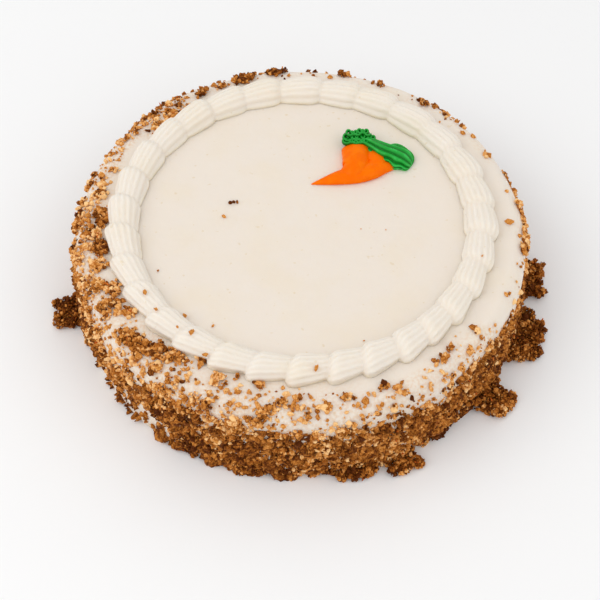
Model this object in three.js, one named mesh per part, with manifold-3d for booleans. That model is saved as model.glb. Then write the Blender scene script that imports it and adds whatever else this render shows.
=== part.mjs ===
// An uncut round carrot cake: ivory icing, cake crumbs pressed on by the handful, a ring of piped
// shells round the top and a small piped carrot with green leaves.
// Millimetres, +Z up. The origin is the middle of the cake's flat underside, and -Y is the front.
// Angles are in degrees, counted anticlockwise from +X as seen from above.

import * as THREE from 'three';
import { mergeVertices } from 'three/addons/utils/BufferGeometryUtils.js';
import Module from 'manifold-3d';

const wasm = await Module();
wasm.setup();

// ---- Driving dimensions -------------------------------------------------------------------------

// The iced cake: a disc with a flat foot, an upright side and a rounded top edge.
const CAKE_RADIUS = 106.5;
const CAKE_HEIGHT = 49;
const TOP_EDGE_ROUND = 8;
const FOOT_ROUND = 1.6;
const CAKE_SIDES = 120;
const SIDE_RINGS = 7;
const SIDE_WAVE = 0.6;

// The border and the carrot were piped round a middle of their own, a little off the cake's.
const PIPING_MIDDLE = { x: 1.2, y: 1.6 };

// The piped border: shells on a ring, each with its head over the tail of the one before. The flank
// is the upright share of a shell's height and the foot is its width underneath, to its full width.
const SHELL_COUNT = 30;
const BORDER_RADIUS = 84.2;
const FIRST_SHELL_ANGLE = 107;
const SHELL_HALF_WIDTH = 8.1;
const SHELL_HEIGHT = 8.8;
const SHELL_SIDEWAYS = 2.4;
const SHELL_TAPER = 0.3;
const SHELL_SINK = 0.1;
const SHELL_BOLD_SINK = 0.24;
const BOLDEST_ANGLE = -110;
const SHELL_FLANK = 0.18;
const SHELL_FOOT = 0.8;
const SHELL_PLUMPNESS = [0.93, 1.05];
const RIB_COUNT = 5;
const RIB_DEPTH = 0.1;

// The shells aren't evenly spaced. They run ahead and fall behind in waves round the ring: how many
// waves there are, how far they go in degrees, and at which shell the crest is.
const SHELL_WANDER = [
  { waves: 1, degrees: 5.6, crest: 7 },
  { waves: 2, degrees: 1.8, crest: -0.7 },
];

// The crumbs that coat the icing: how thick they lie, how far the band round the foot reaches, and
// what share of the crumbs in that band stand out of the coat.
const CRUMB_SEED = 20;
const MOST_DRAWS = 9000;
const COAT_THICKNESS = [0.8, 4.4];
const FOOT_BAND_REACH = 27;
const FOOT_BAND_STANDING = 0.4;

// The crumbs that stand out of the coat, coarsest first. Lift is how far a crumb's middle stands off
// the icing and apart is how close two may come, both as a share of the crumb's size.
const CRUMB_GRADES = [
  { count: 28, size: 8.2, lift: 0.08, apart: 1.15 },
  { count: 38, size: 6.4, lift: 0.15, apart: 1.05 },
  { count: 32, size: 5.0, lift: 0.26, apart: 1.0 },
];

// How much a crumb's corners stand in or out, its greatest length to its size, and its reach from its
// middle that comes of both.
const CRUMB_KNOBS = [0.78, 1.16];
const CRUMB_LENGTH = 1.25;
const CRUMB_REACH = 0.5 * CRUMB_KNOBS[1] * CRUMB_LENGTH;

// Where crumbs were pressed on above the foot band: the middle and half-width of the drift in degrees,
// how far it reaches from the foot along the icing, and the share of icing that it hides.
const DRIFT_ROUNDING = 0.25;
const DRIFTS = [
  { angle: -136, spread: 34, reach: 62, share: 0.95 },
  { angle: -170, spread: 22, reach: 60, share: 0.8 },
  { angle: 158, spread: 22, reach: 58, share: 0.7 },
  { angle: -92, spread: 18, reach: 54, share: 0.6 },
  { angle: -68, spread: 14, reach: 50, share: 0.5 },
  { angle: -46, spread: 14, reach: 55, share: 0.85 },
  { angle: -22, spread: 12, reach: 42, share: 0.5 },
  { angle: 5, spread: 14, reach: 50, share: 0.25 },
  { angle: 52, spread: 5, reach: 52, share: 0.8 },
  { angle: 76, spread: 12, reach: 54, share: 0.55 },
  { angle: 100, spread: 12, reach: 56, share: 0.6 },
  { angle: 128, spread: 16, reach: 57, share: 0.6 },
];

// Crumbs that fell and lie heaped against the foot: the middle and half-width of the heap in degrees,
// how far out it goes from the cake's middle, and its height. Rows of crumbs make a heap, one step
// apart. The slope and the narrowing are what the outermost row loses in height and in width.
const HEAP_STEP = 6;
const HEAP_SLOPE = 0.3;
const HEAP_NARROWING = 0.35;
const HEAP_LIFT = 0.34;
const HEAPS = [
  { angle: -16, spread: 8, reach: 124, height: 10 },
  { angle: 2, spread: 6.5, reach: 124, height: 9 },
  { angle: -36, spread: 4.5, reach: 120, height: 9.5 },
  { angle: -65, spread: 4, reach: 118, height: 9 },
  { angle: -76, spread: 5, reach: 113, height: 8 },
  { angle: -104, spread: 2, reach: 113, height: 8 },
  { angle: -171.5, spread: 4.5, reach: 124, height: 9 },
  { angle: 64, spread: 3, reach: 114, height: 8 },
  { angle: 142, spread: 3, reach: 115, height: 8 },
];

// The piped carrot. Every stroke lists its line as [x, y], its half widths and its heights.
// Its flanks bulge most at a share of its height.
const STROKE_BULGE = 0.3;
const CARROT_STROKES = [
  {
    line: [[46, 35.5], [38, 33.4], [29, 30], [20.5, 27.6], [12.5, 25.9], [5.5, 24.6]],
    halfWidths: [3, 5.2, 5.3, 3.9, 2.3, 0.9],
    heights: [4, 5.4, 5.6, 4.6, 3, 1.5],
  },
  {
    line: [[34.4, 40.6], [36, 37.6], [35, 34.6], [30, 31]],
    halfWidths: [2.6, 4.2, 5.2, 4.2],
    heights: [2.6, 4, 5.4, 4.4],
  },
  {
    line: [[26.6, 49], [26.4, 43], [26, 36.5], [23.8, 31], [17, 27.4]],
    halfWidths: [4.2, 6.2, 6.1, 5, 2.2],
    heights: [5, 6.6, 6.8, 6, 3.4],
  },
];

// The leaves: a curl of zigzag piping behind the carrot's crown and one broad ribbed leaf.
const LEAF_CURL = {
  line: [[20.8, 47.4], [22.6, 52], [25.2, 48.6], [28.6, 53.8], [31, 50], [33.8, 53]],
  halfWidths: [1.8, 3, 3.1, 3.3, 3.4, 2.6],
  heights: [4.6, 6.6, 6.4, 7.4, 7, 6],
};
const BROAD_LEAF = {
  line: [[30.6, 51.4], [36, 45], [42, 40.6], [48.6, 38.2], [54.6, 36]],
  halfWidths: [3, 5.4, 7, 8, 6],
  heights: [6.6, 8, 8.2, 7.2, 4.4],
};
const PIECE_GAP = 0.35;

// ---- Small helpers ------------------------------------------------------------------------------

const radians = THREE.MathUtils.degToRad;

function seededRandom(seed) {
  let state = seed;
  return () => {
    state = (state + 0x6d2b79f5) | 0;
    let mixed = Math.imul(state ^ (state >>> 15), 1 | state);
    mixed = (mixed + Math.imul(mixed ^ (mixed >>> 7), 61 | mixed)) ^ mixed;
    return ((mixed ^ (mixed >>> 14)) >>> 0) / 4294967296;
  };
}

function between(random, low, high) {
  return low + (high - low) * random();
}

// The point at an angle round the upright axis, at a radius and a height.
function polar(angle, radius, height) {
  const turn = radians(angle);
  return new THREE.Vector3(Math.cos(turn) * radius, Math.sin(turn) * radius, height);
}

// The value at t, from 0 to 1, on a smooth line through evenly spaced values.
function smoothThrough(values, t) {
  const place = Math.min(Math.max(t, 0), 1) * (values.length - 1);
  const step = Math.min(Math.floor(place), values.length - 2);
  const before = values[Math.max(step - 1, 0)];
  const after = values[Math.min(step + 2, values.length - 1)];
  const [a, b] = [values[step], values[step + 1]];
  const u = place - step;
  const bend = (2 * before - 5 * a + 4 * b - after) * u * u + (3 * a - before - 3 * b + after) * u ** 3;
  return a + 0.5 * ((b - before) * u + bend);
}

function bareGeometry(geometry) {
  const bare = geometry.clone();
  bare.deleteAttribute('normal');
  bare.deleteAttribute('uv');
  return mergeVertices(bare, 1e-4);
}

// A closed solid of a geometry, without the empty triangles that lie at its poles.
function toSolid(geometry) {
  const merged = bareGeometry(geometry);
  const corners = merged.index.array;
  const kept = [];
  for (let i = 0; i < corners.length; i += 3) {
    const [a, b, c] = [corners[i], corners[i + 1], corners[i + 2]];
    if (a !== b && b !== c && c !== a) {
      kept.push(a, b, c);
    }
  }
  const mesh = new wasm.Mesh({
    numProp: 3,
    vertProperties: new Float32Array(merged.attributes.position.array),
    triVerts: new Uint32Array(kept),
  });
  return new wasm.Manifold(mesh);
}

function toGeometry(solid) {
  const mesh = solid.getMesh();
  const geometry = new THREE.BufferGeometry();
  geometry.setAttribute('position', new THREE.BufferAttribute(mesh.vertProperties, 3));
  geometry.setIndex(new THREE.BufferAttribute(mesh.triVerts, 1));
  geometry.computeVertexNormals();
  return geometry;
}

function joined(solids) {
  return solids.reduce((whole, solid) => whole.add(solid));
}

// The outer skin of a solid: hollows sealed by joining are filled, and loose scraps are dropped.
function outerSkin(solid) {
  const skins = solid.decompose();
  return skins.reduce((largest, skin) => (skin.volume() > largest.volume() ? skin : largest));
}

// ---- The iced cake ------------------------------------------------------------------------------

function cakeOutline() {
  const side = new THREE.Path();
  side.moveTo(0, 0);
  side.lineTo(CAKE_RADIUS - FOOT_ROUND, 0);
  side.lineTo(CAKE_RADIUS, FOOT_ROUND);
  const shoulder = CAKE_HEIGHT - TOP_EDGE_ROUND;
  for (let ring = 1; ring <= SIDE_RINGS; ring++) {
    side.lineTo(CAKE_RADIUS, THREE.MathUtils.lerp(FOOT_ROUND, shoulder, ring / SIDE_RINGS));
  }
  side.absarc(CAKE_RADIUS - TOP_EDGE_ROUND, shoulder, TOP_EDGE_ROUND, 0, Math.PI / 2);
  side.lineTo(0, CAKE_HEIGHT);
  return side.getPoints(2);
}

// How far the spread icing stands out at a place on the side.
function sideWave(angle, height) {
  const slow = Math.sin(3 * angle + 0.8) + 0.7 * Math.sin(5 * angle + height / 14);
  const quick = 0.4 * Math.sin(11 * angle - height / 9 + 2);
  return SIDE_WAVE * (slow + quick);
}

// The cake with its coat of crumbs: bumps as large as crumbs, set at random where crumbs lie.
// The flat top and the flat underside stay as they are.
function coatedCake(random) {
  const turned = new THREE.LatheGeometry(cakeOutline(), CAKE_SIDES).rotateX(Math.PI / 2);
  const geometry = bareGeometry(turned);
  const place = geometry.attributes.position;
  const shoulder = CAKE_HEIGHT - TOP_EDGE_ROUND;
  for (let i = 0; i < place.count; i++) {
    const [x, y, z] = [place.getX(i), place.getY(i), place.getZ(i)];
    const radius = Math.hypot(x, y);
    if (z < CAKE_HEIGHT - 1 && radius > CAKE_RADIUS / 2) {
      const angle = Math.atan2(y, x);
      const tilt = Math.asin(Math.max(z - shoulder, 0) / TOP_EDGE_ROUND);
      const way = Math.min(z, shoulder) + tilt * TOP_EDGE_ROUND;
      const isCoated = random() < crumbShare(THREE.MathUtils.radToDeg(angle), way);
      const coat = isCoated ? between(random, ...COAT_THICKNESS) : 0;
      const grown = 1 + (sideWave(angle, z) + coat * Math.cos(tilt)) / radius;
      place.setXYZ(i, x * grown, y * grown, z + coat * Math.sin(tilt));
    }
  }
  return toSolid(geometry);
}

// ---- Crumbs -------------------------------------------------------------------------------------

// The point and the outward direction on the bare icing, at an angle and a way up from the foot.
function onIcing(angle, way) {
  const shoulder = CAKE_HEIGHT - TOP_EDGE_ROUND;
  const bend = (Math.PI / 2) * TOP_EDGE_ROUND;
  const tilt = Math.min(Math.max((way - shoulder) / TOP_EDGE_ROUND, 0), Math.PI / 2);
  const inward = Math.max(way - shoulder - bend, 0);
  const radius = CAKE_RADIUS - TOP_EDGE_ROUND * (1 - Math.cos(tilt)) - inward;
  const height = Math.min(way, shoulder) + TOP_EDGE_ROUND * Math.sin(tilt);
  const outward = polar(angle, Math.cos(tilt), Math.sin(tilt));
  const point = polar(angle, radius, height);
  return { point, outward };
}

function degreesApart(a, b) {
  return Math.abs(((a - b + 540) % 360) - 180);
}

// The share of the icing that crumbs hide at a place. A drift reaches less far at its sides, and its
// share falls to nothing there.
function crumbShare(angle, way) {
  let share = way < FOOT_BAND_REACH ? 1 : 0;
  for (const drift of DRIFTS) {
    const sideways = degreesApart(angle, drift.angle) / drift.spread;
    const reach = drift.reach * (1 - DRIFT_ROUNDING * sideways ** 2);
    if (sideways < 1 && way < reach) {
      share = Math.max(share, drift.share * (1 - sideways ** 4));
    }
  }
  return share;
}

// One irregular crumb: a knobbly lump of twenty faces, longer one way than the other.
function crumbSolid(random, size, centre) {
  const geometry = bareGeometry(new THREE.IcosahedronGeometry(size / 2, 0));
  const place = geometry.attributes.position;
  for (let i = 0; i < place.count; i++) {
    const knob = between(random, ...CRUMB_KNOBS);
    place.setXYZ(i, place.getX(i) * knob, place.getY(i) * knob, place.getZ(i) * knob);
  }
  const slimness = between(random, 0.75, 0.95);
  geometry.scale(between(random, 0.95, CRUMB_LENGTH), between(random, 0.85, 1.05), slimness);
  geometry.rotateX(between(random, 0, 2 * Math.PI));
  geometry.rotateZ(between(random, 0, 2 * Math.PI));
  geometry.translate(centre.x, centre.y, centre.z);
  return toSolid(geometry);
}

// Whether a crumb on the top edge leaves the ring of shells free.
function isClearOfBorder(point, size) {
  const away = Math.hypot(point.x - PIPING_MIDDLE.x, point.y - PIPING_MIDDLE.y);
  const ringReach = BORDER_RADIUS + SHELL_HALF_WIDTH * SHELL_PLUMPNESS[1] + SHELL_SIDEWAYS * 0.6;
  return away - CRUMB_REACH * size > ringReach + PIECE_GAP;
}

// Crumbs that stand out of the coat. Each is drawn at random, and stays where crumbs lie and where
// those before it, which are coarser, leave it room.
function pressedCrumbs(random) {
  const placed = [];
  const highest = CAKE_HEIGHT + TOP_EDGE_ROUND;
  for (const grade of CRUMB_GRADES) {
    let left = grade.count;
    for (let draw = 0; draw < MOST_DRAWS && left > 0; draw++) {
      const angle = between(random, -180, 180);
      const way = between(random, 0, highest);
      const size = grade.size * between(random, 0.85, 1.15);
      const share = crumbShare(angle, way) * (way < FOOT_BAND_REACH ? FOOT_BAND_STANDING : 1);
      const { point, outward } = onIcing(angle, way);
      point.addScaledVector(outward, grade.lift * size);
      const isApart = placed.every((other) => {
        return other.point.distanceTo(point) > grade.apart * (other.size + size) * 0.5;
      });
      if (random() < share && isApart && isClearOfBorder(point, size)) {
        placed.push({ point, size });
        left -= 1;
      }
    }
  }
  return placed;
}

// Crumbs of a heap lean on each other from the cake's foot outwards, lower and fewer as they go.
function heapedCrumbs(random) {
  const placed = [];
  for (const heap of HEAPS) {
    const rows = Math.round((heap.reach - CAKE_RADIUS) / HEAP_STEP);
    for (let row = 0; row < rows; row++) {
      const radius = CAKE_RADIUS + (row + 0.5) * HEAP_STEP;
      const size = heap.height * (1 - (HEAP_SLOPE * row) / rows);
      const spread = heap.spread * (1 - (HEAP_NARROWING * row) / rows);
      const beside = Math.max(Math.round((2 * radians(spread) * radius) / HEAP_STEP), 1);
      for (let i = 0; i < beside; i++) {
        const sideways = spread * ((2 * i + 1) / beside - 1);
        const angle = heap.angle + sideways + between(random, -0.5, 0.5);
        placed.push({ point: polar(angle, radius, HEAP_LIFT * size), size });
      }
    }
  }
  return placed;
}

// The icing with its crumbs fused on and everything trimmed level with the underside.
function icedCake() {
  const random = seededRandom(CRUMB_SEED);
  const crumbs = [...heapedCrumbs(random), ...pressedCrumbs(random)];
  const solids = crumbs.map(({ point, size }) => crumbSolid(random, size, point));
  const span = 4 * CAKE_RADIUS;
  const below = new THREE.BoxGeometry(span, span, CAKE_HEIGHT).translate(0, 0, -CAKE_HEIGHT / 2);
  return outerSkin(joined([coatedCake(random), ...solids]).subtract(toSolid(below)));
}

// ---- The shell border ---------------------------------------------------------------------------

// Cross sections along one shell: how far along it is, how far the shell has risen from its head and
// fallen to its tail there, and how far out it lies as a share of the sideways reach. The last one is
// the neck where the next shell's head starts.
const SHELL_SECTIONS = [
  { along: 0.07, rise: 0.92, fall: 0, out: 0.83 },
  { along: 0.34, rise: 1, fall: 0.09, out: 0.06 },
  { along: 0.72, rise: 1, fall: 0.44, out: -0.25 },
  { along: 1, rise: 1, fall: 0.71, out: -0.45 },
];
const ARCH_POINTS = 2 * RIB_COUNT - 1;

// A point of a shell's cross section, counted from its outer flank over the top to the inner one.
// Ribs and grooves take turns over the arch, and the last two points are the flat foot.
function shellSection(index, halfWidth, height) {
  if (index >= ARCH_POINTS) {
    const flank = index === ARCH_POINTS ? -1 : 1;
    return [flank * SHELL_FOOT * halfWidth, 0];
  }
  const roll = Math.PI * (index / (ARCH_POINTS - 1));
  const rib = index % 2 === 0 ? 1 : 1 - RIB_DEPTH;
  const lift = SHELL_FLANK + (1 - SHELL_FLANK) * rib * Math.sin(roll);
  return [rib * halfWidth * Math.cos(roll), height * lift];
}

// The angle of a place on the ring that is counted in shells.
function ringAngle(place) {
  const evenly = FIRST_SHELL_ANGLE + (place * 360) / SHELL_COUNT;
  return SHELL_WANDER.reduce((angle, { waves, degrees, crest }) => {
    const phase = (2 * Math.PI * waves * (place - crest)) / SHELL_COUNT;
    return angle + degrees * Math.cos(phase);
  }, evenly);
}

// How boldly the shells are piped: in full at the front left, gently at the back right.
function boldness(angle) {
  return 0.6 + 0.4 * Math.cos(radians(angle - BOLDEST_ANGLE));
}

// The half width, the height and the way out of a shell at one of its cross sections.
function shellSize(section, angle) {
  const bold = boldness(angle);
  return {
    halfWidth: SHELL_HALF_WIDTH * section.rise * (1 - SHELL_TAPER * bold * section.fall),
    height: SHELL_HEIGHT * section.rise * (1 - (SHELL_SINK + SHELL_BOLD_SINK * bold) * section.fall),
    out: SHELL_SIDEWAYS * bold * section.out,
  };
}

function shellBorder() {
  const sectionPoints = ARCH_POINTS + 2;
  const stations = SHELL_COUNT * SHELL_SECTIONS.length;
  const geometry = new THREE.TorusGeometry(BORDER_RADIUS, 1, sectionPoints, stations);
  const random = seededRandom(SHELL_COUNT);
  const plump = Array.from({ length: SHELL_COUNT }, () => between(random, ...SHELL_PLUMPNESS));
  const place = geometry.attributes.position;
  for (let i = 0; i < place.count; i++) {
    const station = i % (stations + 1) % stations;
    const around = Math.floor(i / (stations + 1)) % sectionPoints;
    const shell = Math.floor(station / SHELL_SECTIONS.length);
    const section = SHELL_SECTIONS[station % SHELL_SECTIONS.length];
    const angle = ringAngle(shell + section.along);
    const size = shellSize(section, ringAngle(shell));
    const [across, up] = shellSection(around, size.halfWidth * plump[shell], size.height * plump[shell]);
    const point = polar(angle, BORDER_RADIUS + size.out + across, CAKE_HEIGHT + up);
    place.setXYZ(i, point.x, point.y, point.z);
  }
  geometry.translate(PIPING_MIDDLE.x, PIPING_MIDDLE.y, 0);
  return toSolid(geometry);
}

// ---- The carrot and its leaves ------------------------------------------------------------------

// A stroke of piped icing on the cake's top: a closed, tapered form along its line, which goes on
// below the top. Ribs run along it, as the teeth of a piping nozzle leave them.
function pipedStroke(stroke, { around, along, ribDepth = 0, swell = 0 }) {
  const line = new THREE.CatmullRomCurve3(stroke.line.map(([x, y]) => new THREE.Vector3(x, y, 0)));
  const geometry = new THREE.SphereGeometry(1, around, along);
  const place = geometry.attributes.position;
  const up = new THREE.Vector3(0, 0, 1);
  for (let i = 0; i < place.count; i++) {
    const t = Math.floor(i / (around + 1)) / along;
    const column = i % (around + 1) % around;
    const roll = (2 * Math.PI * column) / around;
    const cap = Math.sqrt(Math.max(1 - Math.abs(2 * t - 1) ** 6, 0));
    const rib = column % 2 === 0 ? 1 : 1 - ribDepth;
    const halfWidth = (smoothThrough(stroke.halfWidths, t) + swell) * cap * rib;
    const height = (smoothThrough(stroke.heights, t) + swell) * cap;
    const centre = line.getPoint(t);
    const leftHand = new THREE.Vector3().crossVectors(up, line.getTangent(t));
    centre.addScaledVector(leftHand, -Math.cos(roll) * halfWidth);
    const lift = height * (STROKE_BULGE + (1 - STROKE_BULGE) * rib * Math.sin(roll));
    place.setXYZ(i, centre.x, centre.y, CAKE_HEIGHT + lift);
  }
  geometry.translate(PIPING_MIDDLE.x, PIPING_MIDDLE.y, 0);
  return toSolid(geometry);
}

// Keeps what stands above the cake's flat top.
function aboveCake(solid) {
  const span = 4 * CAKE_RADIUS;
  const slab = new THREE.BoxGeometry(span, span, CAKE_HEIGHT).translate(0, 0, CAKE_HEIGHT / 2);
  return solid.subtract(toSolid(slab));
}

function carrotRoot(swell = 0) {
  const strokes = CARROT_STROKES.map((stroke) => pipedStroke(stroke, { around: 10, along: 8, swell }));
  return aboveCake(joined(strokes));
}

function carrotGreens() {
  const curl = pipedStroke(LEAF_CURL, { around: 8, along: 15, ribDepth: 0.25 });
  const leaf = pipedStroke(BROAD_LEAF, { around: 20, along: 7, ribDepth: 0.16 });
  return aboveCake(curl.add(leaf)).subtract(carrotRoot(PIECE_GAP));
}

// ---- Materials ----------------------------------------------------------------------------------

function icingMaterial() {
  return new THREE.MeshStandardMaterial({ color: 0xeee5d6, roughness: 0.55, metalness: 0 });
}

function borderMaterial() {
  return new THREE.MeshStandardMaterial({ color: 0xf2ece0, roughness: 0.5, metalness: 0 });
}

function carrotMaterial() {
  return new THREE.MeshStandardMaterial({ color: 0xff7a10, roughness: 0.45, metalness: 0 });
}

function leafMaterial() {
  return new THREE.MeshStandardMaterial({ color: 0x1f9a3c, roughness: 0.45, metalness: 0 });
}

// ---- The whole cake -----------------------------------------------------------------------------

function piece(name, solid, material) {
  const mesh = new THREE.Mesh(toGeometry(solid), material);
  mesh.name = name;
  return mesh;
}

const cake = new THREE.Group();
cake.add(piece('iced_cake', icedCake(), icingMaterial()));
cake.add(piece('shell_border', shellBorder(), borderMaterial()));
cake.add(piece('carrot_root', carrotRoot(), carrotMaterial()));
cake.add(piece('carrot_greens', carrotGreens(), leafMaterial()));

export default cake;
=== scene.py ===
"""A round carrot cake: ivory icing, a coat of cake crumbs, a ring of piped shells and a piped carrot."""

import math

import bmesh
import bpy
import numpy as np
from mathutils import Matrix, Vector, noise


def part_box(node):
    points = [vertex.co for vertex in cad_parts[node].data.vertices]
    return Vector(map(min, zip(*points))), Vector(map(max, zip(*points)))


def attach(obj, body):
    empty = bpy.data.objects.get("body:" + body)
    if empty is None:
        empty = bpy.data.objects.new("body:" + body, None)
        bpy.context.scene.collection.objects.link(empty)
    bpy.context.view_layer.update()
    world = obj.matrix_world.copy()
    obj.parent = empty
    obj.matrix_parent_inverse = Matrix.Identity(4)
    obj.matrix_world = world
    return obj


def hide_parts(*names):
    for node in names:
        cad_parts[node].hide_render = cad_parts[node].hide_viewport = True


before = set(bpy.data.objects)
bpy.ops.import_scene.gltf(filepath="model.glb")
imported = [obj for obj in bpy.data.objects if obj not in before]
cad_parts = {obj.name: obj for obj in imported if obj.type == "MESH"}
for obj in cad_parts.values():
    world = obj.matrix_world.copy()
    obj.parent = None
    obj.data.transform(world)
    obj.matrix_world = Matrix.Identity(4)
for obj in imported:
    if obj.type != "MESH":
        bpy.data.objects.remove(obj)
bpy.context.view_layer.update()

bl_info = {
    "name": "Carrot Cake",
    "version": (1, 0, 0),
    "blender": (4, 5, 0),
    "location": "View3D > Sidebar > Cake",
    "description": "Makes an iced carrot cake with pressed crumbs, a shell border and a piped carrot",
    "category": "Add Mesh",
}

MM = 0.001
BODY = "root"
ICING_FOOT, ICING_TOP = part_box("iced_cake")[0].z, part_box("shell_border")[0].z
PIPING_MIDDLE = Vector((1.2, 1.6, 0)) * MM

# Crumbs below this radius lie singly and larger ones in clusters. All of them lie singly where they
# hide less than this share of the icing.
SINGLE_CRUMB = 1.4 * MM
SINGLE_COVER = 0.51

# How many fine crumbs lie on a cluster of 1 mm radius, and how many times as many on a heaped lump.
CLUSTER_CRUMBS = 3.5
HEAP_CRUMBS = 1.9

# Where crumbs stuck above the band round the foot: the middle and the half-width of each drift in
# degrees, from where to where it goes along the icing from the foot in millimetres, and the share of
# the icing that it hides.
DRIFTS = (
    (-180, 14, 40, 60, 0.62),
    (-167, 9, 38, 56, 0.76),
    (-153, 8, 36, 58, 0.66),
    (-143, 8, 38, 62, 0.50),
    (-130, 8, 34, 46, 0.48),
    (-128, 9, 46, 66, 0.58),
    (-120, 8, 34, 48, 0.84),
    (-110, 8, 34, 49, 0.74),
    (-99, 7, 34, 45, 0.76),
    (-99, 7, 45, 56, 0.30),
    (-88, 9, 32, 41, 0.78),
    (-88, 9, 41, 52, 0.34),
    (-78, 7, 32, 46, 0.56),
    (-70, 7, 32, 42, 0.56),
    (-72, 9, 42, 54, 0.24),
    (-59, 6, 36, 54, 0.20),
    (-47, 8, 34, 48, 0.54),
    (-48, 7, 48, 58, 0.16),
    (-39, 7, 34, 49, 0.72),
    (-30, 7, 34, 42, 0.50),
    (-20, 5, 40, 49, 0.16),
    (1, 15, 38, 49, 0.20),
    (9, 15, 34, 46, 0.78),
    (30, 7, 44, 52, 0.34),
    (42, 5, 44, 52, 0.44),
    (52, 5, 44, 55, 0.30),
    (78, 18, 44, 55, 0.16),
    (101, 7, 44, 57, 0.26),
    (120, 10, 44, 55, 0.34),
    (134, 9, 44, 62, 0.84),
    (148, 9, 44, 55, 0.66),
    (162, 9, 44, 57, 0.60),
    (-101, 20, 42, 56, 0.50),
    (-72, 22, 38, 54, 0.42),
    (-44, 9, 40, 54, 0.38),
    (-104, 30, 54, 66, 0.18),
)

# The band of crumbs round the foot: how far it goes along the icing from the foot and how far up it is
# packed, in millimetres, and the share of the icing that it hides.
FOOT_BAND_REACH = 35.5
FOOT_BAND_PACKED = 29
FOOT_BAND_SHARE = 0.95

# The larger lumps of crumb above the band: the angle of each in degrees, how far along the icing from
# the foot it lies, its half-widths round and along, in millimetres, and its tone from 0 to 1.
LUMPS = (
    (168, 54, 4, 3.5, 0.40),
    (178, 58, 8, 5, 0.32),
    (-172, 58, 7, 5, 0.28),
    (-166, 58, 4.5, 6, 0.60),
    (-158, 54, 5, 5, 0.50),
    (-156, 60, 4.5, 5, 0.60),
    (-151, 54, 5.5, 6, 0.40),
    (-146, 60, 3.5, 3, 0.60),
    (-140, 52, 6, 5, 0.45),
    (-136, 54, 7, 5, 0.28),
    (-132, 56, 6, 6, 0.38),
    (-126, 60, 6, 4, 0.55),
    (-119, 66, 3, 4, 0.60),
    (-112, 58, 5, 3.5, 0.60),
    (-108, 62, 1.5, 1.5, 0.60),
    (-105, 38, 6, 5, 0.45),
    (-101, 60, 4, 2.5, 0.65),
    (-100, 45, 4, 3, 0.50),
    (-98, 49, 5, 3, 0.50),
    (-95, 53, 4.5, 2.5, 0.50),
    (-96, 33, 3, 2, 0.20),
    (-90, 55, 1.5, 2, 0.62),
    (-88, 49, 2, 3, 0.55),
    (-83, 51, 3.5, 2.5, 0.50),
    (-78, 54, 3.5, 2.2, 0.50),
    (-78, 37, 4, 3, 0.40),
    (-68, 54, 3, 2.5, 0.25),
    (-65, 51, 2.2, 2.5, 0.70),
    (-63, 48, 2, 2, 0.60),
    (-67, 44, 2, 1.5, 0.60),
    (-50, 54, 2.5, 3, 0.55),
    (-47, 55, 3, 2, 0.45),
    (-38, 53, 3.5, 1.5, 0.60),
    (-6, 46, 4, 3, 0.50),
    (3, 43, 4, 2.5, 0.40),
    (52, 51, 3.5, 3, 0.50),
    (66, 51, 3, 2, 0.30),
    (77, 50, 4, 2.5, 0.25),
    (96, 50, 7, 3.5, 0.10),
    (104, 51, 4, 3.5, 0.25),
    (108, 53, 5, 3.5, 0.20),
    (113, 53, 2.5, 2, 0.30),
    (120, 53, 4, 3, 0.20),
)

# Where the band round the foot is thin: the middle and half-width in degrees and the share hidden
# there, and how far up from the foot, in millimetres.
THIN_BAND = (-141, 24, 0.50)
THIN_BAND_REACH = 18

# Crumbs heaped against the foot: the middle and half-width of the heap in degrees, how far out it goes
# from the middle of the cake, and its height, both in millimetres.
HEAPS = (
    (-16, 8, 124, 10),
    (2, 6.5, 124, 9),
    (-36, 4.5, 120, 9.5),
    (-65, 4, 118, 9),
    (-76, 5, 113, 8),
    (-104, 2, 113, 8),
    (-171.5, 4.5, 124, 9),
    (64, 3, 114, 8),
    (142, 3, 115, 8),
)

# Single crumbs that lie on the open icing and on the shells: x, y and size in millimetres from the
# middle of the piping, and the tone from 0, dark, to 1, pale.
STRAY_CRUMBS = (
    (-34.2, 12.1, 2.0, 0.05),
    (-32.4, 12.7, 1.9, 0.1),
    (-30.9, 12.6, 1.4, 0.2),
    (-36.9, 3.6, 1.9, 0.9),
    (-66.3, -28.6, 1.5, 0.5),
    (-52.6, -55.2, 2.0, 0.9),
    (-39.8, -59.7, 1.7, 0.9),
    (-64.9, -56.3, 1.7, 0.8),
    (-48.6, -69.0, 2.2, 0.8),
    (27.8, -3.7, 0.8, 1.0),
    (39.5, -4.3, 0.8, 1.0),
    (27.6, -67.8, 1.0, 0.8),
    (6.1, -87.5, 2.4, 0.9),
    (82.5, -25.9, 1.0, 1.0),
    (67.9, 59.6, 1.1, 0.8),
    (-42.4, -79.4, 2.2, 0.8),
    (-55.0, -66.0, 1.6, 0.9),
    (-70.5, -47.0, 1.9, 0.8),
    (97.7, 0.3, 3.2, 0.9),
)

# The shells aren't evenly spaced. They run ahead and fall behind in waves round the ring: how many
# waves there are, how far they go in degrees, and at which shell the crest is.
SHELL_WANDER = ((1, 5.6, 7), (2, 1.8, -0.7))

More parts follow.
